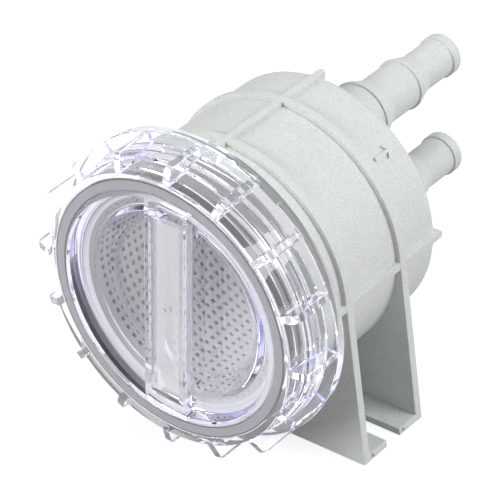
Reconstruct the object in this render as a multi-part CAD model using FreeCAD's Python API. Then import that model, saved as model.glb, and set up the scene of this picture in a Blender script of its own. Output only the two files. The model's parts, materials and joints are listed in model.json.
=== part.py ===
import FreeCAD, Part
import math
import os

# A sea water strainer for a small marine engine, lying on its integral foot.
# Sizes are in millimetres. The lid faces -Y, the hose tails point to +Y and
# +Z is up. The soles of the foot stand on z = 0, and Y is measured from the
# middle of the whole length.

# Stations along the body, counted from the front face of the lid
lid_depth = 18.8
collar_length = 11.5
bay_length = 26.4
rear_bay_length = 20.6
tail_step_1 = 18.0
tail_step_2 = 20.7
tail_step_3 = 20.0
tail_tip_length = 4.0

# Housing
ground_clearance = 13.8
barrel_radius = 41.2
barrel_wall = 3.8
rear_wall = 3.5
rear_edge_radius = 3.0
rib_width = 3.0
rib_height = 1.55
long_rib_width = 2.6
rib_rear_overhang = 1.0
rib_lid_gap = 0.8
arrow_length = 9.2
arrow_head_width = 4.2
arrow_shaft_width = 1.1
arrow_height = 0.35
arrow_share = 0.46
arrow_angle = 45.5

# Neck and gasket seat
neck_crest_height = 1.2
neck_crest_width = 1.4
neck_crest_chamfer = 0.8
neck_wall = 2.0

# Hose tails
tail_spacing = 36.4
tail_radius_1 = 10.15
tail_radius_2 = 8.0
tail_radius_3 = 6.45
tail_bore_radius = 5.0
barb_height = 0.6
barb_flat = 0.9
barb_cone_length = 7.6
tail_tip_chamfer = 1.2

# Foot
foot_splay = 6.2
foot_flange_length = 11.5
foot_flange_thickness = 2.4

# Lid
lid_skirt_wall = 2.0
lid_edge_chamfer = 0.7
lid_lip_overhang = 5.8
lid_lip_thickness = 3.4
lid_plate = 2.1
lid_shell = 2.6
skirt_step = 1.6
skirt_clearance = 0.4
ring_floor_depth = 4.7
pocket_floor_depth = 8.7
recess_draft = 1.3
plug_wall = 1.2
ring_floor_width = 7.2
pocket_draft = 4.2
pocket_wall = 2.2
grip_bar_width = 15.6
grip_wall = 2.6
grip_channel_depth = 1.2
grip_channel_margin = 6.0
fin_count = 16
fin_thickness = 2.6
fin_start = 0.9
fin_knee = 3.7
fin_reach = 4.14
fin_draft = 0.86
pad_width = 6.2
pad_length = 3.0
pad_depth = 3.0
pad_rise = 0.6
pad_proud = 0.4
pad_angle = 30.0
lid_turn = 4.8

# Gasket
gasket_setback = 0.1
gasket_thickness = 2.0
seat_gap = 0.05

# Basket
basket_gap = 1.8
basket_wall = 1.3
basket_flange = 2.0
basket_flange_clearance = 0.4
basket_play = 0.3
basket_end_gap = 6.8
basket_collar_height = 4.0
basket_collar_wall = 1.7
spigot_clearance = 0.2
spigot_overlap = 1.6
spigot_radius = 8.0
hole_margin = 2.8
hole_columns = 14
hole_rows = 3
hole_width = 6.6
hole_length = 13.2

# How far joined pieces run into each other, and cutters past what they cut
join_overlap = 1.0
weld_depth = 0.3
cut_margin = 1.0

# Stations worked out from the sizes above
front_rib_station = lid_depth + collar_length
rear_rib_station = front_rib_station + bay_length
rear_station = rear_rib_station + rear_bay_length
inner_rear_station = rear_station - rear_wall
step_1_station = rear_station + tail_step_1
step_2_station = step_1_station + tail_step_2
step_3_station = step_2_station + tail_step_3
end_station = step_3_station + tail_tip_length
middle_station = end_station / 2.0
neck_station = lid_plate + gasket_thickness + seat_gap
basket_station = ring_floor_depth + lid_shell + basket_play
ledge_station = basket_station + basket_flange
lip_station = lid_depth - lid_lip_thickness

# Radii and widths worked out from the barrel, outwards and inwards
axis_height = barrel_radius + ground_clearance
foot_half_width = barrel_radius + foot_splay
rib_radius = barrel_radius + rib_height
inner_radius = barrel_radius - barrel_wall
neck_crest_radius = barrel_radius + neck_crest_height
neck_bore_radius = barrel_radius - neck_wall
lid_bore_radius = neck_crest_radius + skirt_clearance
lid_crown_radius = lid_bore_radius + lid_skirt_wall
lid_lip_radius = lid_crown_radius + lid_lip_overhang
plug_radius = neck_bore_radius - skirt_clearance
recess_radius = plug_radius - plug_wall
pocket_rim_radius = recess_radius - ring_floor_width
pocket_floor_radius = pocket_rim_radius - pocket_draft
gasket_inner_radius = neck_bore_radius + gasket_setback
basket_radius = inner_radius - basket_gap


def point(radius, station):
    return FreeCAD.Vector(radius, station - middle_station, 0)


def revolve(profile, x=0.0, z=0.0):
    """Turn a closed list of (radius, station) about a line parallel to Y."""
    points = [point(r, s) for r, s in profile]
    face = Part.Face(Part.makePolygon(points + [points[0]]))
    solid = face.revolve(FreeCAD.Vector(0, 0, 0), FreeCAD.Vector(0, 1, 0), 360)
    solid = Part.makeSolid(solid) if solid.ShapeType == "Shell" else solid
    solid.translate(FreeCAD.Vector(x, 0, z))
    return solid


def block(x0, x1, s0, s1, z0, z1):
    corner = FreeCAD.Vector(x0, s0 - middle_station, z0)
    return Part.makeBox(x1 - x0, s1 - s0, z1 - z0, corner)


def tube(radius, s0, s1, x=0.0, z=0.0):
    start = FreeCAD.Vector(x, s0 - middle_station, z)
    return Part.makeCylinder(radius, s1 - s0, start, FreeCAD.Vector(0, 1, 0))


def plate(outline, s0, s1):
    """Extrude an XZ outline from one station to another."""
    points = [FreeCAD.Vector(x, s0 - middle_station, z) for x, z in outline]
    face = Part.Face(Part.makePolygon(points + [points[0]]))
    return face.extrude(FreeCAD.Vector(0, s1 - s0, 0))


def spun(shape, degrees, z=0.0):
    """Turn a copy about the body's axis, clockwise as seen from the lid."""
    turned = shape.copy()
    turned.rotate(FreeCAD.Vector(0, 0, z), FreeCAD.Vector(0, 1, 0), degrees)
    return turned


# Barrel, neck and ring ribs in one turned profile. The neck carries the gasket
# on its end, and the rear edge of the barrel is well rounded.
def barrel():
    edge = []
    for k in range(3):
        a = math.radians(45.0 * k)
        r = barrel_radius - rear_edge_radius * (1.0 - math.cos(a))
        s = rear_station - rear_edge_radius * (1.0 - math.sin(a))
        edge.append((r, s))
    profile = [
        (neck_bore_radius, neck_station),
        (neck_crest_radius, neck_station),
        (neck_crest_radius, neck_station + neck_crest_width),
        (barrel_radius, neck_station + neck_crest_width + neck_crest_chamfer),
        (barrel_radius, front_rib_station),
        (rib_radius, front_rib_station),
        (rib_radius, front_rib_station + rib_width),
        (barrel_radius, front_rib_station + rib_width),
        (barrel_radius, rear_rib_station),
        (rib_radius, rear_rib_station),
        (rib_radius, rear_rib_station + rib_width),
        (barrel_radius, rear_rib_station + rib_width),
    ]
    profile += edge
    profile += [
        (0.0, rear_station),
        (0.0, inner_rear_station),
        (inner_radius, inner_rear_station),
        (inner_radius, ledge_station),
        (neck_bore_radius, ledge_station),
    ]
    return revolve(profile)


# Rib along the barrel: straight, with a round end that stands a little behind
# the rear edge.
def long_rib():
    first = lid_depth + rib_lid_gap
    last = rear_station + rib_rear_overhang
    half = long_rib_width / 2.0
    root = barrel_radius - rear_edge_radius - join_overlap / 2.0
    body = block(-half, half, first, last - half, root, rib_radius)
    centre = FreeCAD.Vector(0, last - half - middle_station, root)
    nose = Part.makeCylinder(half, rib_radius - root, centre)
    return body.fuse(nose)


# Hose tail for three hose sizes. Each step ends in a sharp shoulder, and a
# long cone leads from it down to the next size.
def tail(z):
    profile = [
        (tail_bore_radius, inner_rear_station + weld_depth),
        (tail_radius_1, inner_rear_station + weld_depth),
        (tail_radius_1, step_1_station),
        (tail_radius_1 + barb_height, step_1_station),
        (tail_radius_1 + barb_height, step_1_station + barb_flat),
        (tail_radius_2, step_1_station + barb_cone_length),
        (tail_radius_2, step_2_station),
        (tail_radius_2 + barb_height, step_2_station),
        (tail_radius_2 + barb_height, step_2_station + barb_flat),
        (tail_radius_3, step_2_station + barb_cone_length),
        (tail_radius_3, step_3_station),
        (tail_radius_3 + barb_height, step_3_station),
        (tail_radius_3 + barb_height, end_station - tail_tip_chamfer),
        (tail_radius_3 - barb_height / 2.0, end_station),
        (tail_bore_radius, end_station),
    ]
    return revolve(profile, z=z)


# Foot: two plates that run off the ring ribs as tangents, each with a flange
# turned inwards, so that a slot stays open between the flanges for the screws.
def foot():
    reach = math.hypot(foot_half_width, axis_height)
    low = math.atan2(-axis_height, foot_half_width)
    touch = low + math.acos(rib_radius / reach)
    top_x = rib_radius * math.cos(touch)
    top_z = rib_radius * math.sin(touch)
    slope = (foot_half_width - top_x) / (axis_height + top_z)
    top = foot_flange_thickness
    shrink = foot_half_width - slope * top
    outline = [
        (-foot_half_width, -axis_height),
        (foot_half_width, -axis_height),
        (top_x, top_z),
        (-top_x, top_z),
    ]
    base = [
        (-foot_half_width, -axis_height),
        (foot_half_width, -axis_height),
        (shrink, top - axis_height),
        (-shrink, top - axis_height),
    ]
    front = front_rib_station
    rear = rear_rib_station + rib_width
    pieces = [
        plate(outline, front, front + rib_width),
        plate(outline, rear - rib_width, rear),
        plate(base, front, front + foot_flange_length),
        plate(base, rear - foot_flange_length, rear),
    ]
    shape = pieces[0].multiFuse(pieces[1:])
    hollow = tube(barrel_radius - join_overlap, front - cut_margin, rear + cut_margin)
    return shape.cut(hollow)


# Flow arrow, standing proud on the barrel beside the upper tail.
def arrow():
    tip = arrow_length / 2.0
    shaft = arrow_shaft_width / 2.0
    head = arrow_head_width / 2.0
    neck = tip - 1.6 * head
    outline = [
        (-shaft, -tip), (shaft, -tip), (shaft, neck), (head, neck - head + shaft),
        (head, tip - 1.4 * head), (0.0, tip), (-head, tip - 1.4 * head),
        (-head, neck - head + shaft), (-shaft, neck),
    ]
    middle = rear_rib_station + rib_width + (rear_bay_length - rib_width) * arrow_share
    points = []
    for x, y in outline:
        y += middle - middle_station
        points.append(FreeCAD.Vector(x, y, barrel_radius - join_overlap))
    face = Part.Face(Part.makePolygon(points + [points[0]]))
    shape = face.extrude(FreeCAD.Vector(0, 0, join_overlap + arrow_height))
    return spun(shape, arrow_angle)


def housing():
    parts = [foot(), arrow()]
    for degrees in (-90, 0, 90):
        parts.append(spun(long_rib(), degrees))
    half = tail_spacing / 2.0
    for z in (-half, half):
        parts.append(tail(z))
    spigot_front = inner_rear_station - basket_end_gap - spigot_overlap
    parts.append(tube(spigot_radius, spigot_front, inner_rear_station + weld_depth, z=-half))
    shape = barrel().multiFuse(parts)
    front = spigot_front - cut_margin
    for z in (-half, half):
        shape = shape.cut(tube(tail_bore_radius, front, end_station + cut_margin, z=z))
    return shape.removeSplitter()


# Lid: one clear moulding. A crown plate, a plug that centres in the neck, a
# ring floor, two finger pockets and a skirt with a lip.
def lid_shell_body():
    under_ring = ring_floor_depth + lid_shell
    under_pocket = pocket_floor_depth + lid_shell
    profile = [
        (0.0, pocket_floor_depth),
        (pocket_floor_radius, pocket_floor_depth),
        (pocket_rim_radius, ring_floor_depth),
        (recess_radius - recess_draft, ring_floor_depth),
        (recess_radius, 0.0),
        (lid_crown_radius - lid_edge_chamfer, 0.0),
        (lid_crown_radius, lid_edge_chamfer),
        (lid_crown_radius, lip_station / 2.0),
        (lid_crown_radius + skirt_step, lip_station / 2.0),
        (lid_crown_radius + skirt_step, lip_station),
        (lid_lip_radius, lip_station),
        (lid_lip_radius, lid_depth),
        (lid_bore_radius, lid_depth),
        (lid_bore_radius, lid_plate),
        (plug_radius, lid_plate),
        (plug_radius, under_ring),
        (pocket_rim_radius + pocket_wall, under_ring),
        (pocket_floor_radius + pocket_wall, under_pocket),
        (0.0, under_pocket),
    ]
    return revolve(profile)


def grip_bar():
    half = grip_bar_width / 2.0
    bridge_reach = recess_radius + weld_depth
    web_reach = pocket_rim_radius - 2.0 * weld_depth
    bridge_back = ring_floor_depth + 2.0 * weld_depth
    web_back = pocket_floor_depth + weld_depth
    bridge = block(-half, half, 0.0, bridge_back, -bridge_reach, bridge_reach)
    bridge = bridge.common(tube(bridge_reach, 0.0, lid_depth))
    web = block(-half, half, weld_depth, web_back, -web_reach, web_reach)
    web = web.common(tube(web_reach, 0.0, lid_depth))
    return bridge.fuse(web)


def fin():
    root = lid_crown_radius - lid_skirt_wall / 2.0
    back = lip_station + lid_lip_thickness / 3.0
    profile = [
        (root, fin_start),
        (lid_crown_radius, fin_start),
        (lid_crown_radius + fin_reach, fin_start + fin_knee),
        (lid_crown_radius + fin_reach + fin_draft, back),
        (root, back),
    ]
    points = []
    for r, s in profile:
        points.append(FreeCAD.Vector(-fin_thickness / 2.0, s - middle_station, r))
    face = Part.Face(Part.makePolygon(points + [points[0]]))
    return face.extrude(FreeCAD.Vector(fin_thickness, 0, 0))


def lid():
    pieces = [grip_bar()]
    for k in range(fin_count):
        pieces.append(spun(fin(), 360.0 * k / fin_count))
    front = lip_station - pad_rise
    pad = block(-pad_width / 2.0, pad_width / 2.0, front, front + pad_length,
                lid_lip_radius - pad_depth, lid_lip_radius + pad_proud)
    pieces.append(spun(pad, pad_angle))
    shape = lid_shell_body().multiFuse(pieces)
    half = grip_bar_width / 2.0 - grip_wall
    reach = recess_radius - grip_channel_margin
    channel = block(-half, half, -cut_margin, grip_channel_depth, -reach, reach)
    web = grip_channel_depth + lid_shell
    back = pocket_floor_depth + lid_shell + cut_margin
    hollow = block(-half, half, web, back, -pocket_floor_radius, pocket_floor_radius)
    shape = shape.cut(channel).cut(hollow)
    return spun(shape.removeSplitter(), lid_turn)


def lid_gasket():
    rear = lid_plate + gasket_thickness
    profile = [
        (gasket_inner_radius, lid_plate),
        (neck_crest_radius, lid_plate),
        (neck_crest_radius, rear),
        (gasket_inner_radius, rear),
    ]
    return revolve(profile)


# Basket: a cup with a flange in the neck and a collar on the inlet spigot.
def filter_basket():
    front = basket_station
    back = inner_rear_station - basket_end_gap
    outer = basket_radius
    inner = basket_radius - basket_wall
    profile = [
        (inner, front),
        (neck_bore_radius - basket_flange_clearance, front),
        (neck_bore_radius - basket_flange_clearance, ledge_station),
        (outer, ledge_station),
        (outer, back),
        (0.0, back),
        (0.0, back - basket_wall),
        (inner, back - basket_wall),
    ]
    shape = revolve(profile)
    half = tail_spacing / 2.0
    sleeve = spigot_radius + spigot_clearance
    end = back + basket_collar_height
    collar = tube(sleeve + basket_collar_wall, back - basket_wall / 2.0, end, z=-half)
    shape = shape.fuse(collar)
    shape = shape.cut(tube(sleeve, back - 2.0 * basket_wall, end + basket_wall, z=-half))
    first = ledge_station + hole_margin
    pitch = (back - hole_margin - first) / hole_rows
    holes = []
    for row in range(hole_rows):
        s0 = first + pitch * row + (pitch - hole_length) / 2.0
        hole = block(-hole_width / 2.0, hole_width / 2.0, s0, s0 + hole_length,
                     inner - cut_margin, outer + cut_margin)
        for column in range(hole_columns):
            holes.append(spun(hole, 360.0 * (column + 0.5) / hole_columns))
    return shape.cut(Part.makeCompound(holes))


def save(node, shape):
    placed = shape.copy()
    placed.translate(FreeCAD.Vector(0, 0, axis_height))
    placed.exportStep(os.path.join("parts", node + ".step"))


os.makedirs("parts", exist_ok=True)
save("housing", housing())
save("lid", lid())
save("lid_gasket", lid_gasket())
save("filter_basket", filter_basket())
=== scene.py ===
import json
import math

import bmesh
import bpy
from mathutils import Matrix, Vector


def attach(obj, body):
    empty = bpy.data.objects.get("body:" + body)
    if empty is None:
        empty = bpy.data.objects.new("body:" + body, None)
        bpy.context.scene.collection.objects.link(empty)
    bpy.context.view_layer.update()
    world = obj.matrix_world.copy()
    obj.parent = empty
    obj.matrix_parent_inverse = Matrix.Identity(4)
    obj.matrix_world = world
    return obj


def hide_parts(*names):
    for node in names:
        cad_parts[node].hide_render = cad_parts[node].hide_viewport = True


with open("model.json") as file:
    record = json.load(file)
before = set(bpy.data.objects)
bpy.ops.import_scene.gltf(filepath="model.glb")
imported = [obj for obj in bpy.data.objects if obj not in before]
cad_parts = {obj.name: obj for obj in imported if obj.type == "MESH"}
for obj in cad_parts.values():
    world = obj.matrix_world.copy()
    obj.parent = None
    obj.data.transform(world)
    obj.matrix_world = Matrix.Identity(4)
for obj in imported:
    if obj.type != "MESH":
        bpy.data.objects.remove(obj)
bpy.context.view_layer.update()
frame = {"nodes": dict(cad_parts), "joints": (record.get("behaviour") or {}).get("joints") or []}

# The view. The photograph looks down on the lid from its right, through a long lens,
# with the camera rolled a little. All of it is fixed by the middle of the lid's face.
lid_screw = [joint for joint in frame["joints"] if joint["type"] == "hinge"][0]
lid_face = Vector(lid_screw["pos_m"])
view_azimuth = math.radians(40.07)
view_elevation = math.radians(34.01)
view_roll = math.radians(-3.34)
view_distance = 0.8404
picture_side = 500.0
lid_pixel = Vector((167.73, 309.92))
sensor_width = 36.0
lens = 209.5
aim_depth = 0.0012

flat_reach = math.cos(view_elevation)
back = Vector((math.sin(view_azimuth) * flat_reach,
               -math.cos(view_azimuth) * flat_reach,
               math.sin(view_elevation)))
level = Vector((math.cos(view_azimuth), math.sin(view_azimuth), 0.0))
upright = back.cross(level)
right = level * math.cos(view_roll) + upright * math.sin(view_roll)
up = upright * math.cos(view_roll) - level * math.sin(view_roll)
pixel = sensor_width / picture_side / lens * view_distance
from_middle = lid_pixel - Vector((picture_side, picture_side)) / 2.0
place = lid_face + Vector((0.0, aim_depth, 0.0)) + back * view_distance
place += (up * from_middle.y - right * from_middle.x) * pixel
camera = bpy.data.objects.new("camera", bpy.data.cameras.new("camera"))
camera.data.sensor_width = sensor_width
camera.data.lens = lens
camera.matrix_world = Matrix.Translation(place) @ Matrix((right, up, back)).transposed().to_4x4()
bpy.context.scene.collection.objects.link(camera)
bpy.context.scene.camera = camera

# The housing is one moulding in light grey plastic with a fine matt grain: a barrel with
# ring ribs and long ribs, a threaded neck, two stepped hose tails and a foot of two plates.
# Lengths here are millimetres from the face of the lid, back along the axis of the barrel.
millimetre = 0.001
eased = 0.3
barrel_radius = 41.2
barrel_end = 77.3
barrel_wall = 3.8
barrel_corner = 3.0
rear_wall = 3.5
rib_radius = 42.75
rib_width = 3.0
front_rib = 30.3
rear_rib = 56.7
neck_front = 4.15
neck_bore = 39.2
neck_edge = 41.5
neck_edge_width = 1.4
ledge = 9.6
axis_height = lid_face.z / millimetre
grey_plastic = (0.660, 0.688, 0.662, 1.0)


class Flow:
    """One socket of a node tree: maths on it adds nodes, and node() adds any other kind."""

    def __init__(self, tree, socket=None):
        self.tree = tree
        self.socket = socket

    def node(self, kind, settings=None, inputs=None, output=0):
        node = self.tree.nodes.new(kind)
        for key, value in (settings or {}).items():
            setattr(node, key, value)
        for key, value in (inputs or {}).items():
            for one in value if isinstance(value, list) else [value]:
                if isinstance(one, Flow):
                    self.tree.links.new(one.socket, node.inputs[key])
                else:
                    node.inputs[key].default_value = one
        return Flow(self.tree, node.outputs[output] if node.outputs else None)

    def out(self, name):
        """Another output of the node that this socket belongs to."""
        return Flow(self.tree, self.socket.node.outputs[name])

    def maths(self, operation, first, second=0.0):
        return self.node("ShaderNodeMath", {"operation": operation}, {0: first, 1: second})

    def __add__(self, other):
        return self.maths("ADD", self, other)

    def __radd__(self, other):
        return self.maths("ADD", other, self)

    def __sub__(self, other):
        return self.maths("SUBTRACT", self, other)

    def __rsub__(self, other):
        return self.maths("SUBTRACT", other, self)

    def __mul__(self, other):
        return self.maths("MULTIPLY", self, other)

    def __rmul__(self, other):
        return self.maths("MULTIPLY", other, self)

    def __lt__(self, other):
        return self.maths("LESS_THAN", self, other)

    def __gt__(self, other):
        return self.maths("GREATER_THAN", self, other)

    def mix(self, first, second):
        """Blends two colours, with this socket as the share of the second."""
        settings = {"data_type": "RGBA"}
        return self.node("ShaderNodeMix", settings, {0: self, 6: first, 7: second}, 2)


def material(name):
    """An empty material, and a Flow that adds nodes to it."""
    made = bpy.data.materials.new(name)
    made.use_nodes = True
    made.node_tree.nodes.clear()
    return made, Flow(made.node_tree)


def from_axis(flow, spot):
    """How far a point on a piece lies from the barrel's axis."""
    across = {0: spot, 1: (lid_face.x, 0.0, lid_face.z)}
    across = flow.node("ShaderNodeVectorMath", {"operation": "SUBTRACT"}, across)
    flat = {0: across, 1: (1.0, 0.0, 1.0)}
    flat = flow.node("ShaderNodeVectorMath", {"operation": "MULTIPLY"}, flat)
    return flow.node("ShaderNodeVectorMath", {"operation": "LENGTH"}, {0: flat}, 1)


def finished(flow, tone, roughness, height, strength, distance):
    """Ends a material in an opaque surface with a fine relief."""
    relief = flow.node("ShaderNodeBump", None,
                       {"Height": height, "Strength": strength, "Distance": distance})
    surface = flow.node("ShaderNodeBsdfPrincipled", None,
                        {"Base Color": tone, "Roughness": roughness, "Normal": relief})
    flow.node("ShaderNodeOutputMaterial", None, {"Surface": surface})


def softened(corners):
    """A closed outline with each corner (x, y, radius) rounded off by a short curve."""
    outline = []
    for index, (x, y, radius) in enumerate(corners):
        here = Vector((x, y))
        before = Vector(corners[index - 1][:2]) - here
        after = Vector(corners[(index + 1) % len(corners)][:2]) - here
        if radius == 0.0:
            outline.append(here)
            continue
        start = here + before.normalized() * min(radius, before.length * 0.45)
        end = here + after.normalized() * min(radius, after.length * 0.45)
        steps = 3 if radius < 1.0 else 7
        for step in range(steps + 1):
            t = step / steps
            outline.append(start * (1 - t) ** 2 + here * 2 * t * (1 - t) + end * t * t)
    return outline


def turned(outline, z=0.0, segments=192):
    """A closed (radius, station) outline turned about a line along the barrel."""
    form = bmesh.new()
    rings = []
    for radius, station in outline:
        count = segments if radius > 1e-6 else 1
        ring = []
        for k in range(count):
            angle = math.tau * k / segments
            spot = (radius * math.sin(angle), station, z + radius * math.cos(angle))
            ring.append(form.verts.new(spot))
        rings.append(ring)
    for near, far in zip(rings, rings[1:] + rings[:1]):
        for k in range(segments):
            j = k + 1
            four = [near[k % len(near)], near[j % len(near)],
                    far[j % len(far)], far[k % len(far)]]
            corners = list(dict.fromkeys(four))
            if len(corners) > 2:
                form.faces.new(corners)
    bmesh.ops.recalc_face_normals(form, faces=form.faces)
    return form


def rounded_off(form, edges, edge):
    """Rounds off some edges of a form by two small faces."""
    bmesh.ops.bevel(form, geom=edges, offset=edge, segments=2, profile=0.5, affect="EDGES")


def prism(outline, low, high, edge, sideways=False):
    """A closed outline (x, z) run from one station to another, its edges eased. With
    sideways, the outline is (station, height) and it runs along X instead."""
    form = bmesh.new()
    ends = []
    for depth in (low, high):
        spots = [(depth, a, b) if sideways else (a, depth, b) for a, b in outline]
        ends.append([form.verts.new(spot) for spot in spots])
    count = len(outline)
    form.faces.new(ends[0])
    form.faces.new(ends[1][::-1])
    for k in range(count):
        j = (k + 1) % count
        form.faces.new([ends[0][k], ends[0][j], ends[1][j], ends[1][k]])
    bmesh.ops.recalc_face_normals(form, faces=form.faces)
    if edge:
        sharp = [e for e in form.edges if e.calc_face_angle() > math.radians(30.0)]
        rounded_off(form, sharp, edge)
    return form


def raised(outline, low, high, edge=0.0):
    """A closed outline (x, station) that stands up from the barrel, its top edge eased."""
    form = bmesh.new()
    foot = [form.verts.new((x, station, low)) for x, station in outline]
    top = [form.verts.new((x, station, high)) for x, station in outline]
    form.faces.new(foot)
    form.faces.new(top[::-1])
    for k in range(len(outline)):
        j = (k + 1) % len(outline)
        form.faces.new([foot[k], foot[j], top[j], top[k]])
    bmesh.ops.recalc_face_normals(form, faces=form.faces)
    if edge:
        rims = [e for e in form.edges if e.verts[0] in top and e.verts[1] in top]
        rounded_off(form, rims, edge)
    return form


def spun(form, degrees, z=0.0):
    """Turns a form about a line along the barrel, clockwise as seen from the lid."""
    turn = Matrix.Rotation(math.radians(degrees), 3, "Y")
    bmesh.ops.rotate(form, verts=form.verts, cent=(0, 0, z), matrix=turn)
    return form


def gathered(name, forms):
    """Several forms as one object, still in millimetres about the barrel's axis."""
    whole = bmesh.new()
    for form in forms:
        mesh = bpy.data.meshes.new(name)
        form.to_mesh(mesh)
        whole.from_mesh(mesh)
        form.free()
        bpy.data.meshes.remove(mesh)
    mesh = bpy.data.meshes.new(name)
    whole.to_mesh(mesh)
    whole.free()
    made = bpy.data.objects.new(name, mesh)
    bpy.context.scene.collection.objects.link(made)
    return made


def grown(piece, build, inputs):
    """Runs a geometry tree on a piece and keeps the result as its plain mesh."""
    tree = bpy.data.node_groups.new(piece.name, "GeometryNodeTree")
    tree.interface.new_socket("Geometry", in_out="INPUT", socket_type="NodeSocketGeometry")
    tree.interface.new_socket("Geometry", in_out="OUTPUT", socket_type="NodeSocketGeometry")
    kinds = {int: "NodeSocketInt", float: "NodeSocketFloat",
             bpy.types.Object: "NodeSocketObject", bpy.types.Material: "NodeSocketMaterial"}
    named = {}
    for name, value in inputs.items():
        kind = kinds[type(value)]
        named[name] = tree.interface.new_socket(name, in_out="INPUT", socket_type=kind)
    start = tree.nodes.new("NodeGroupInput")
    sockets = {socket.name: Flow(tree, socket) for socket in start.outputs}
    end = tree.nodes.new("NodeGroupOutput")
    tree.links.new(build(sockets).socket, end.inputs[0])
    modifier = piece.modifiers.new(piece.name, "NODES")
    modifier.node_group = tree
    for name, value in inputs.items():
        modifier[named[name].identifier] = value
    shown = piece.evaluated_get(bpy.context.evaluated_depsgraph_get())
    mesh = bpy.data.meshes.new_from_object(shown)
    piece.modifiers.remove(modifier)
    piece.data = mesh
    for value in inputs.values():
        if isinstance(value, bpy.types.Object):
            bpy.data.objects.remove(value)
    return piece


def settled(piece, crease=32.0):
    """Puts a piece made in millimetres where it belongs, smooth up to a crease angle."""
    piece.data.transform(Matrix.Translation(lid_face) @ Matrix.Scale(millimetre, 4))
    piece.data.shade_smooth()
    piece.data.set_sharp_from_angle(angle=math.radians(crease))
    flat_faces = piece.modifiers.new("flat_faces", "WEIGHTED_NORMAL")
    flat_faces.keep_sharp = True
    flat_faces.weight = 100
    return piece


def form_in(socket):
    """The form of the object that a named input holds."""
    return socket.node("GeometryNodeObjectInfo", None, {"Object": socket}, 4)


def union(forms, crossing=True):
    """Joins closed forms into one solid. Crossing ones may also cross themselves."""
    settings = {"solver": "EXACT", "operation": "UNION"}
    return forms[0].node("GeometryNodeMeshBoolean", settings,
                         {"Mesh 2": forms, "Self Intersection": crossing})


def difference(whole, cutters):
    """Takes the cutters out of a solid."""
    settings = {"solver": "EXACT", "operation": "DIFFERENCE"}
    return whole.node("GeometryNodeMeshBoolean", settings,
                      {"Mesh 1": whole, "Mesh 2": cutters, "Self Intersection": True})


def painted(form, plastic):
    """Makes instances real and gives the whole its material."""
    whole = form.node("GeometryNodeRealizeInstances", None, {"Geometry": form})
    return form.node("GeometryNodeSetMaterial", None, {"Geometry": whole, "Material": plastic})


def one_moulding(sockets):
    """Shell and added forms are joined into one solid, and the cutters are taken out."""
    joined = union([sockets["Geometry"], form_in(sockets["Added forms"])])
    return painted(difference(joined, form_in(sockets["Cutters"])), sockets["Plastic"])


# Behind the lid, the front edge of the neck and the valleys of its thread lie in shade. That shade
# is painted here as a darker tone of the plastic.
valley_radius = 0.0418
valley_end = lid_face.y + 0.0192
valley_shade = 0.62
edge_radius = 0.0405
edge_end = lid_face.y + 0.0061
edge_shade = 0.8
plastic, flow = material("grey_moulded_plastic")
spot = flow.node("ShaderNodeTexCoord", output=3)
grain = flow.node("ShaderNodeTexNoise", None, {"Vector": spot, "Scale": 1900.0, "Detail": 3.0})
cloud = flow.node("ShaderNodeTexNoise", None, {"Vector": spot, "Scale": 190.0, "Detail": 3.0})
speck = flow.node("ShaderNodeTexVoronoi", None, {"Vector": spot, "Scale": 900.0})
shade = 0.66 + grain * 0.50 + cloud * 0.10 + speck * 0.08
radius = from_axis(flow, spot)
along = flow.node("ShaderNodeSeparateXYZ", None, {0: spot}).out(1)
# Painted shade: the thread's valleys and the neck's front edge are darkened in the colour.
valley = (radius < valley_radius) * (along < valley_end)
front_edge = (radius > edge_radius) * (along < edge_end)
shade = shade * (1.0 - valley * valley_shade) * (1.0 - front_edge * edge_shade)
tone = flow.node("ShaderNodeMix", {"data_type": "RGBA", "blend_type": "MULTIPLY"},
                 {0: 1.0, 6: grey_plastic, 7: shade}, 2)
finished(flow, tone, 0.5 + cloud * 0.14, grain + cloud * 0.6, 0.3, 0.00012)

barrel_bore = barrel_radius - barrel_wall
barrel = turned(softened([
    (neck_bore, neck_front, 0.3), (neck_edge, neck_front, 0.2),
    (neck_edge, neck_front + neck_edge_width, 0.1), (barrel_radius, neck_front + 1.8, 0.1),
    (barrel_radius, barrel_end, barrel_corner), (0.0, barrel_end, 0.0),
    (0.0, barrel_end - rear_wall, 0.0), (barrel_bore, barrel_end - rear_wall, 1.5),
    (barrel_bore, ledge, 0.3), (neck_bore, ledge, 0.2),
]))

# Three long ribs end in a round nose behind the rear edge.
added = []
rib_half = 1.3
rib_start = 19.6
rib_end = barrel_end + 1.0
nose_steps = 8
for degrees in (-90, 0, 90):
    plan = [(-rib_half, rib_start), (rib_half, rib_start)]
    for step in range(nose_steps + 1):
        angle = math.pi * step / nose_steps
        plan.append((rib_half * math.cos(angle), rib_end - rib_half + rib_half * math.sin(angle)))
    added.append(spun(raised(plan, barrel_radius - 2.0, rib_radius, eased), degrees))

# Foot: each ring rib runs on as a plate, which leaves it as a tangent on both sides, and
# the flanges of the two plates turn inwards.
foot_half_width = 47.4
foot_flange = 11.5
flange_thickness = 2.4
flange_overlap = 0.4
foot_end = rear_rib + rib_width
reach = math.hypot(foot_half_width, axis_height)
touch = math.atan2(-axis_height, foot_half_width) + math.acos(rib_radius / reach)
top_x = rib_radius * math.cos(touch)
top_z = rib_radius * math.sin(touch)
lean = (foot_half_width - top_x) / (axis_height + top_z) * flange_thickness
base = [(-foot_half_width, -axis_height), (foot_half_width, -axis_height),
        (foot_half_width - lean, flange_thickness - axis_height),
        (lean - foot_half_width, flange_thickness - axis_height)]


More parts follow.
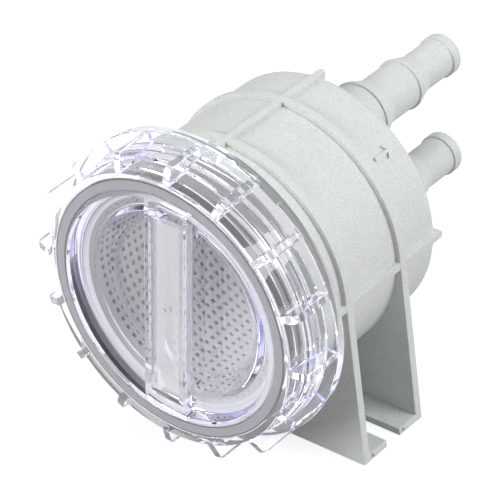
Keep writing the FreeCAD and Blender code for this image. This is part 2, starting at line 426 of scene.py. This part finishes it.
def rib_and_plate(low, high):
    """A ring rib and the foot plate below it as one flat form round the barrel."""
    arc = 144
    side = 24
    sole = 25
    hole = barrel_radius - 1.5
    rim = []
    for k in range(arc + 1):
        angle = touch + (math.pi - 2.0 * touch) * k / arc
        rim.append((rib_radius * math.cos(angle), rib_radius * math.sin(angle)))
    flank = []
    for k in range(side + 1):
        share = k / side
        flank.append((top_x + (foot_half_width - top_x) * share,
                      top_z - (axis_height + top_z) * share))
    rim += [(-x, z) for x, z in flank[1:]]
    for k in range(1, sole + 1):
        rim.append((-foot_half_width + 2.0 * foot_half_width * k / sole, -axis_height))
    rim += flank[-2:0:-1]
    form = bmesh.new()
    rings = []
    for depth in (low, high):
        rings.append([form.verts.new((x, depth, z)) for x, z in rim])
        inner = []
        for x, z in rim:
            far = math.hypot(x, z)
            inner.append(form.verts.new((x / far * hole, depth, z / far * hole)))
        rings.append(inner)
    outer_low, inner_low, outer_high, inner_high = rings
    loops = [outer_low, inner_low, inner_high, outer_high]
    for near, far in zip(loops, loops[1:] + loops[:1]):
        for k in range(len(rim)):
            j = (k + 1) % len(rim)
            form.faces.new([near[k], near[j], far[j], far[k]])
    bmesh.ops.recalc_face_normals(form, faces=form.faces)
    ring_of = {vert: number for number, ring in enumerate(rings) for vert in ring}
    edges = [edge for edge in form.edges if ring_of[edge.verts[0]] == ring_of[edge.verts[1]]
             and ring_of[edge.verts[0]] in (0, 2)]
    rounded_off(form, edges, 0.35)
    return form


added.append(rib_and_plate(front_rib, front_rib + rib_width))
added.append(rib_and_plate(rear_rib, foot_end))
added.append(prism(base, front_rib + flange_overlap, front_rib + foot_flange, eased))
added.append(prism(base, foot_end - foot_flange, foot_end - flange_overlap, eased))

# Hose tails: each step ends in a sharp shoulder, and a long cone leads to the next. Inside,
# the lower tail runs on as a short spigot.
tail_offset = 18.2
tail_steps = [(95.3, 10.15), (116.0, 8.0), (136.0, 6.45)]
tail_end = 140.0
tail_bore = 5.0
shoulder = 0.6
shoulder_width = 0.9
cone_length = 7.6
root_step = 0.5
spigot_front = 65.4
spigot_radius = 8.0
(end_1, r_1), (end_2, r_2), (end_3, r_3) = tail_steps
tail = softened([
    (0.0, barrel_end - 1.0, 0.0), (r_1 + root_step, barrel_end - 1.0, 0.0),
    (r_1 + root_step, barrel_end + 0.05, 0.2), (r_1, barrel_end + 0.5, 0.3), (r_1, end_1, 0.1),
    (r_1 + shoulder, end_1, 0.12), (r_1 + shoulder, end_1 + shoulder_width, 0.3),
    (r_2, end_1 + cone_length, 1.0), (r_2, end_2, 0.1),
    (r_2 + shoulder, end_2, 0.12), (r_2 + shoulder, end_2 + shoulder_width, 0.3),
    (r_3, end_2 + cone_length, 1.0), (r_3, end_3, 0.1),
    (r_3 + shoulder, end_3, 0.2), (r_3 + shoulder, tail_end, 1.1), (0.0, tail_end, 0.0),
])
for z in (-tail_offset, tail_offset):
    added.append(turned(tail, z, 96))
spigot = softened([
    (0.0, spigot_front, 0.0), (spigot_radius, spigot_front, 0.2),
    (spigot_radius, barrel_end - 2.0, 0.0), (0.0, barrel_end - 2.0, 0.0),
])
added.append(spun(turned(spigot, -tail_offset, 96), 1.1, -tail_offset))

# Flow arrow beside the upper tail.
arrow_outline = [(-0.55, -4.6), (0.55, -4.6), (0.55, 1.2), (2.1, 0.2), (2.1, 1.6), (0.0, 4.6),
                 (-2.1, 1.6), (-2.1, 0.2), (-0.55, 1.2)]
arrow_middle = 67.8
arrow_turn = 45.5
arrow_height = 0.75
plan = [(x, arrow_middle + along) for x, along in arrow_outline]
added.append(spun(raised(plan, barrel_radius - 0.8, barrel_radius + arrow_height), arrow_turn))


def ridge(root, crest, foot_width, top_width, start, turns, clockwise):
    """A screw ridge that runs out to nothing at both ends."""
    form = bmesh.new()
    steps = int(96 * turns)
    run_out = 9.0
    rows = []
    for k in range(steps + 1):
        angle = math.radians(clockwise) + math.tau * turns * k / steps
        fade = min(1.0, k / run_out, (steps - k) / run_out)
        top = root + (crest - root) * max(fade, 0.02)
        along = start + thread_pitch * turns * k / steps
        row = []
        for radius, offset in ((root, -foot_width), (top, -top_width), (top, top_width),
                               (root, foot_width)):
            spot = (radius * math.sin(angle), along + offset / 2.0, radius * math.cos(angle))
            row.append(form.verts.new(spot))
        rows.append(row)
    for near, far in zip(rows, rows[1:]):
        for k in range(4):
            j = (k + 1) % 4
            form.faces.new([near[k], near[j], far[j], far[k]])
    form.faces.new(rows[0])
    form.faces.new(rows[-1][::-1])
    bmesh.ops.recalc_face_normals(form, faces=form.faces)
    return form


# The thread on the neck. Its start is a little off the top, clear of the barrel's facets.
thread_pitch = 6.0
thread_front = neck_front + 3.4
thread_crest = 42.4
neck_thread_turns = 1.5
thread_start = 0.9
added.append(ridge(barrel_radius - 0.6, thread_crest, 2.6, 1.0, thread_front,
                   neck_thread_turns, thread_start))

# The waterways of the tails, and a small dimple in both ends of each flange.
dimple_radius = 0.7
dimple_length = 1.6
cutters = []
for z in (-tail_offset, tail_offset):
    bore = [(0.0, 60.0), (tail_bore, 60.0), (tail_bore, tail_end + 1.0), (0.0, tail_end + 1.0)]
    cutters.append(turned([Vector(p) for p in bore], z, 64))
for side in (-1, 1):
    for station in (front_rib + rib_width + 1.2, foot_end - foot_flange + 1.6):
        dimple = [(0.0, 0.0), (dimple_radius, 0.0), (dimple_radius, dimple_length),
                  (0.0, dimple_length)]
        hole = turned([Vector(p) for p in dimple], 0.0, 24)
        quarter = Matrix.Rotation(math.radians(-90.0), 3, "Z")
        bmesh.ops.rotate(hole, verts=hole.verts, cent=(0, 0, 0), matrix=quarter)
        start = side * foot_half_width - dimple_length / 2.0
        low = flange_thickness / 2.0 - axis_height
        bmesh.ops.translate(hole, verts=hole.verts, vec=(start, station, low))
        cutters.append(hole)

housing = gathered("housing_moulding", [barrel])
grown(housing, one_moulding, {
    "Added forms": gathered("added", added), "Cutters": gathered("cutters", cutters),
    "Plastic": plastic})
settled(housing)
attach(housing, "body")
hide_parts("housing")

# The basket is a thin moulded cup of paler plastic, its wall full of small square holes.
# Its flange lies on a ledge in the neck, and its collar slides over the inlet spigot.
basket_radius = 35.6
basket_wall = 1.3
basket_back = 67.0
flange_radius = neck_bore - 0.4
flange_height = 2.0
collar_inside = 8.2
collar_outside = 9.9
hole_columns = 70
hole_rows = 20
hole_share = 0.46
basket_plastic = (0.93, 0.935, 0.95, 1.0)
basket_second_tone = (0.86, 0.87, 0.89, 1.0)


def perforated(sockets):
    """A grid of cells, each with a hole, is wrapped into a tube and given its wall."""
    start = sockets["Geometry"]
    weld = 0.001
    grid = start.node("GeometryNodeMeshGrid", None,
                      {"Size X": 1.0, "Size Y": 1.0, "Vertices X": sockets["Columns"] + 1.0,
                       "Vertices Y": sockets["Rows"] + 1.0})
    inset = start.node("GeometryNodeExtrudeMesh", {"mode": "FACES"},
                       {"Mesh": grid, "Offset Scale": 0.0, "Individual": True})
    top = inset.out("Top")
    shrunk = start.node("GeometryNodeScaleElements", {"domain": "FACE"},
                        {"Geometry": inset, "Selection": top, "Scale": sockets["Hole share"]})
    opened = start.node("GeometryNodeDeleteGeometry", {"domain": "FACE"},
                        {"Geometry": shrunk, "Selection": top})
    position = start.node("GeometryNodeInputPosition")
    across = start.node("ShaderNodeSeparateXYZ", None, {0: position})
    along = across.out(1)
    angle = across * math.tau
    radius = sockets["Radius"]
    wrapped = start.node("ShaderNodeCombineXYZ", None,
                         {0: radius * start.maths("SINE", angle),
                          1: sockets["Front"] + (along + 0.5) * sockets["Length"],
                          2: radius * start.maths("COSINE", angle)})
    tube = start.node("GeometryNodeSetPosition", None, {"Geometry": opened, "Position": wrapped})
    closed = start.node("GeometryNodeMergeByDistance", None, {"Geometry": tube, "Distance": weld})
    outwards = start.node("GeometryNodeInputNormal")
    inner = start.node("GeometryNodeExtrudeMesh", {"mode": "FACES"},
                       {"Mesh": closed, "Offset": outwards, "Offset Scale": sockets["Wall"],
                        "Individual": False})
    first = start.node("GeometryNodeFlipFaces", None, {"Mesh": closed})
    both = start.node("GeometryNodeJoinGeometry", None, {"Geometry": [inner, first, start]})
    welded = start.node("GeometryNodeMergeByDistance", None, {"Geometry": both, "Distance": weld})
    return painted(welded, sockets["Plastic"])


cup_plastic, flow = material("basket_plastic")
spot = flow.node("ShaderNodeTexCoord", output=3)
cloud = flow.node("ShaderNodeTexNoise", None, {"Vector": spot, "Scale": 260.0, "Detail": 2.0})
tone = (cloud * 0.5).mix(basket_plastic, basket_second_tone)
finished(flow, tone, 0.42 + cloud * 0.1, cloud, 0.15, 0.0001)

wall_inside = basket_radius - basket_wall
wall_front = ledge + 1.0
wall_back = basket_back - 2.0
end_front = basket_back - basket_wall
rim = turned(softened([
    (wall_inside, ledge - flange_height, 0.3), (flange_radius, ledge - flange_height, 0.3),
    (flange_radius, ledge, 0.2), (basket_radius, ledge, 0.2), (basket_radius, wall_front, 0.0),
    (wall_inside, wall_front, 0.0),
]))
cup_end = turned(softened([
    (wall_inside, wall_back, 0.0), (basket_radius, wall_back, 0.0),
    (basket_radius, basket_back, 1.0), (collar_outside, basket_back, 0.2),
    (collar_outside, end_front, 0.2), (wall_inside, end_front, 0.8),
]))
collar = turned(softened([
    (collar_inside, basket_back - 1.6, 0.2), (collar_outside, basket_back - 1.6, 0.2),
    (collar_outside, basket_back + 4.0, 0.3), (collar_inside, basket_back + 4.0, 0.3),
]), -tail_offset, 64)
disc = [(0.0, end_front), (10.4, end_front), (10.4, basket_back), (0.0, basket_back)]
floor_disc = turned([Vector(p) for p in disc])
basket = gathered("basket_cup", [rim, cup_end, floor_disc, collar])
grown(basket, perforated, {
    "Columns": hole_columns, "Rows": hole_rows, "Hole share": hole_share, "Radius": wall_inside,
    "Front": wall_front, "Length": wall_back - wall_front, "Wall": basket_wall,
    "Plastic": cup_plastic})
settled(basket)
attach(basket, "body")
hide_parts("filter_basket")

# The gasket is a flat ring of grey rubber between the neck and the crown of the lid. Its pressed
# face has a pale bloom, and its edges are painted nearly black: painted shade for the shadowed gap
# they lie in. The CAD ring is its true form, so only its finish is set here.
gasket_outer_edge = 0.0420
gasket_inner_edge = 0.0393
bloom_tones = [(0.30, 0.29, 0.315, 1.0), (0.36, 0.35, 0.37, 1.0)]
painted_edge_shade = (0.035, 0.034, 0.038, 1.0)
rubber, flow = material("gasket_rubber")
spot = flow.node("ShaderNodeTexCoord", output=3)
bloom = flow.node("ShaderNodeTexNoise", None, {"Vector": spot, "Scale": 420.0, "Detail": 2.0})
radius = from_axis(flow, spot)
# Painted shade: both edges of the ring are coloured nearly black.
shaded_ring_edges = (radius > gasket_outer_edge) + (radius < gasket_inner_edge)
tone = shaded_ring_edges.mix(bloom.mix(*bloom_tones), painted_edge_shade)
finished(flow, tone, 0.6 + bloom * 0.1, bloom, 0.1, 0.0001)
gasket = frame["nodes"]["lid_gasket"]
gasket.data.materials.clear()
gasket.data.materials.append(rubber)

# The lid is one clear moulding: a crown over the gasket, a sunk ring floor, two finger
# pockets with a hollow grip bar between them, and a stepped skirt with fins and a lip.
crown_radius = 44.8
lip_radius = 50.59
lid_depth = 18.8
lip_front = 15.4
plate = 2.07
shell = 2.6
bore_radius = 42.8
plug_radius = 38.8
ring_floor = 4.7
pocket_floor = 8.7
recess_radius = 37.6
pocket_rim = 30.2
pocket_bottom = 26.4
step = lip_front / 2.0
lid_turn = 4.6
crown = turned(softened([
    (0.0, pocket_floor, 0.0), (pocket_bottom, pocket_floor, 1.6), (pocket_rim, ring_floor, 0.6),
    (recess_radius - 1.4, ring_floor, 1.2), (recess_radius, 0.0, 0.4), (crown_radius, 0.0, 0.35),
    (crown_radius + 0.1, 3.4, 0.1), (crown_radius + 0.4, 3.7, 0.1),
    (crown_radius + 0.5, step, 0.3), (crown_radius + 1.4, step + 0.6, 0.3),
    (crown_radius + 1.5, 11.4, 0.1), (crown_radius + 1.8, 11.7, 0.1),
    (crown_radius + 1.9, lip_front, 0.5), (lip_radius, lip_front, 0.5),
    (lip_radius, lid_depth, 0.4), (bore_radius, lid_depth, 0.3),
    (bore_radius, plate, 0.0), (plug_radius, plate, 0.0),
    (plug_radius, ring_floor + shell, 0.4), (pocket_rim + 1.8, ring_floor + shell, 0.8),
    (pocket_bottom + 2.0, pocket_floor + shell, 1.2), (0.0, pocket_floor + shell, 0.0),
]), segments=256)

# The fins stand across the skirt from the face to the lip.
fin_count = 16
fin_half = 1.3
fin_reach = 50.4
fin_root = crown_radius - 1.1
fin_back = lip_front + 1.0
fin_outline = softened([
    (0.1, fin_root, 0.0), (0.1, crown_radius + 0.2, 0.6), (1.6, fin_reach, 1.4),
    (fin_back, lip_radius - 0.05, 0.0), (fin_back, fin_root, 0.0)])
fin = gathered("fin", [prism(fin_outline, -fin_half, fin_half, eased, sideways=True)])

# The grip bar: a bridge across the recess and a web down to the floor of the pockets, with
# a shallow channel in its front and a hollow behind that.
bar_half = 7.8
bar_wall = 2.6
channel_depth = 1.2
channel_half = bar_half - bar_wall
channel_reach = recess_radius - 6.0
bridge_reach = recess_radius - 0.15
bridge_back = ring_floor + 0.9
web_reach = pocket_rim - 0.8
web_back = pocket_floor + 0.6
void_front = channel_depth + shell
void_reach = recess_radius - 3.2
void_back = pocket_floor + 4.0
bridge = prism([(0.0, -bridge_reach), (0.0, bridge_reach), (bridge_back, bridge_reach),
                (bridge_back, -bridge_reach)], -bar_half, bar_half, eased, sideways=True)
web = prism([(0.6, -web_reach + 1.2), (0.6, web_reach - 1.2), (web_back, web_reach - 3.4),
             (web_back, -web_reach + 3.4)], -bar_half + 0.02, bar_half - 0.02, 0.0, sideways=True)
channel = prism([(-1.0, -channel_reach), (-1.0, channel_reach), (channel_depth, channel_reach),
                 (channel_depth, -channel_reach)], -channel_half, channel_half, eased,
                sideways=True)
void = prism([(void_front, -void_reach), (void_front, void_reach), (void_back, void_reach),
              (void_back, -void_reach)], -channel_half, channel_half, 0.5, sideways=True)

# The lid's own thread, a pad on the lip, and the ring that the gate leaves in the channel.
lid_thread_turns = 1.1
gate_inside = 1.0
gate_outside = 1.75
gate_front = channel_depth - 0.5
gate_back = channel_depth + 0.6
thread = ridge(bore_radius + 0.3, barrel_radius + 0.5, 2.2, 0.8,
               thread_front + thread_pitch / 2.0, lid_thread_turns, thread_start - lid_turn)
pad_low = lip_radius - 2.5
pad_high = lip_radius + 0.35
pad = spun(prism([(-3.1, pad_low), (3.1, pad_low), (3.1, pad_high), (-3.1, pad_high)],
                 lip_front - 0.6, lip_front + 2.4, eased), 30.0)
gate = turned(softened([(gate_inside, gate_front, 0.15), (gate_outside, gate_front, 0.15),
                        (gate_outside, gate_back, 0.0), (gate_inside, gate_back, 0.0)]),
              0.0, 48)


def finned(sockets):
    """The fins are set round the crown, and all of the lid becomes one clear solid."""
    crown_form = sockets["Geometry"]
    line = crown_form.node("GeometryNodeMeshLine", None,
                           {"Count": sockets["Fin count"], "Offset": (0.0, 0.0, 0.0)})
    index = crown_form.node("GeometryNodeInputIndex")
    pitch = crown_form.maths("DIVIDE", math.tau, sockets["Fin count"])
    turn = crown_form.node("ShaderNodeCombineXYZ", None, {1: index * pitch})
    ring = crown_form.node("GeometryNodeInstanceOnPoints", None,
                           {"Points": line, "Instance": form_in(sockets["Fin"]),
                            "Rotation": turn})
    fins = crown_form.node("GeometryNodeRealizeInstances", None, {"Geometry": ring})
    joined = union([crown_form, fins, form_in(sockets["Added forms"])])
    hollowed = difference(joined, form_in(sockets["Cutters"]))
    marked = union([hollowed, form_in(sockets["Gate mark"])], crossing=False)
    return painted(marked, sockets["Plastic"])


# Clear plastic. Light that has been caught in it for long comes out lilac, as along the
# edges of the fins, and lamps shine through it. The channel of the bar has a slight frost.
clear_tint = (0.978, 0.978, 1.0, 1.0)
open_tint = (0.985, 0.985, 1.0, 1.0)
lilac_tint = (0.86, 0.85, 1.0, 1.0)
frost_tint = (0.98, 0.98, 1.0, 1.0)
deepest_bounce = 4.0
frost_half = 0.0051
frost_length = 0.0316
frost_depth = 0.0045
frost_share = 0.34
clear, flow = material("clear_moulded_plastic")
glassy = flow.node("ShaderNodeBsdfPrincipled", None,
                   {"Base Color": clear_tint, "Roughness": 0.02, "IOR": 1.58,
                    "Transmission Weight": 1.0})
edge_light = flow.node("ShaderNodeBsdfTransparent", None, {"Color": lilac_tint})
open_way = flow.node("ShaderNodeBsdfTransparent", None, {"Color": open_tint})
frost = flow.node("ShaderNodeBsdfDiffuse", None, {"Color": frost_tint})
rays = flow.node("ShaderNodeLightPath")
caught = rays.out("Ray Depth") > deepest_bounce
passing = flow.maths("MAXIMUM", rays.out("Is Shadow Ray"), rays.out("Is Diffuse Ray"))
spot = flow.node("ShaderNodeTexCoord", output=3)
from_face = flow.node("ShaderNodeVectorMath", {"operation": "SUBTRACT"},
                      {0: spot, 1: tuple(lid_face)})
bar_side = (math.cos(math.radians(lid_turn)), 0.0, -math.sin(math.radians(lid_turn)))
across = flow.node("ShaderNodeVectorMath", {"operation": "DOT_PRODUCT"},
                   {0: from_face, 1: bar_side}, 1)
parts = flow.node("ShaderNodeSeparateXYZ", None, {0: from_face})
in_channel = flow.maths("ABSOLUTE", across) < frost_half
in_channel = in_channel * (flow.maths("ABSOLUTE", parts.out(2)) < frost_length)
in_channel = in_channel * (parts.out(1) < frost_depth)
surface = flow.node("ShaderNodeMixShader", None, {0: caught, 1: glassy, 2: edge_light})
surface = flow.node("ShaderNodeMixShader", None,
                    {0: in_channel * frost_share, 1: surface, 2: frost})
surface = flow.node("ShaderNodeMixShader", None, {0: passing, 1: surface, 2: open_way})
flow.node("ShaderNodeOutputMaterial", None, {"Surface": surface})

lid = gathered("lid_clear_moulding", [crown])
grown(lid, finned, {
    "Fin count": fin_count, "Fin": fin,
    "Added forms": gathered("added", [bridge, web, pad, thread]),
    "Cutters": gathered("cutters", [channel, void]), "Gate mark": gathered("gate", [gate]),
    "Plastic": clear})
lid.data.transform(Matrix.Rotation(math.radians(lid_turn), 4, "Y"))
settled(lid, 28.0)
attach(lid, "cap")
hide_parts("lid")

# The studio: a white sheet on the table and a white surround. The large key lamp stands
# behind on the right, a second lamp hangs above, and a fill lamp lights the lid's side.
sheet_half = 3.0
sheet_tone = (0.38, 0.38, 0.39, 1.0)
sheet_lift = 0.78
surround_light = 0.29
white = (1.0, 1.0, 1.0, 1.0)


def seen(flow):
    """1 for what the camera sees, straight, mirrored or through clear plastic, else 0."""
    rays = flow.node("ShaderNodeLightPath")
    bent = flow.maths("MAXIMUM", rays.out("Is Glossy Ray"), rays.out("Is Transmission Ray"))
    return flow.maths("MAXIMUM", rays.out("Is Camera Ray"), bent)


floor_form = bmesh.new()
bmesh.ops.create_grid(floor_form, x_segments=1, y_segments=1, size=sheet_half)
floor_mesh = bpy.data.meshes.new("studio_floor")
floor_form.to_mesh(floor_mesh)
floor_form.free()
floor = bpy.data.objects.new("studio_floor", floor_mesh)
bpy.context.scene.collection.objects.link(floor)
white_sheet, flow = material("white_sheet")
paper = flow.node("ShaderNodeBsdfDiffuse", None, {"Color": sheet_tone})
lift = flow.node("ShaderNodeEmission", None, {"Color": white, "Strength": seen(flow) * sheet_lift})
surface = flow.node("ShaderNodeAddShader", None, {0: paper, 1: lift})
flow.node("ShaderNodeOutputMaterial", None, {"Surface": surface})
floor.data.materials.append(white_sheet)

world = bpy.data.worlds.new("white_surround")
world.use_nodes = True
world.node_tree.nodes.clear()
flow = Flow(world.node_tree)
strength = surround_light + seen(flow) * (1.0 - surround_light)
glow = flow.node("ShaderNodeBackground", None, {"Color": white, "Strength": strength})
flow.node("ShaderNodeOutputWorld", None, {"Surface": glow})
bpy.context.scene.world = world

lamps = [("key_lamp", (0.80, 0.28, 0.62), 0.70, 7.0), ("top_lamp", (-0.10, 0.20, 1.0), 0.60, 1.7),
         ("fill_lamp", (-0.36, -0.84, 0.50), 0.45, 6.2)]
aim = lid_face + Vector((0.0, 0.05, 0.0))
for name, spot, size, power in lamps:
    lamp = bpy.data.lights.new(name, "AREA")
    lamp.shape = "DISK"
    lamp.size = size
    lamp.energy = power
    holder = bpy.data.objects.new(name, lamp)
    holder.location = spot
    holder.rotation_euler = (Vector(spot) - aim).to_track_quat("Z", "Y").to_euler()
    bpy.context.scene.collection.objects.link(holder)

bpy.context.scene.view_settings.view_transform = "Standard"
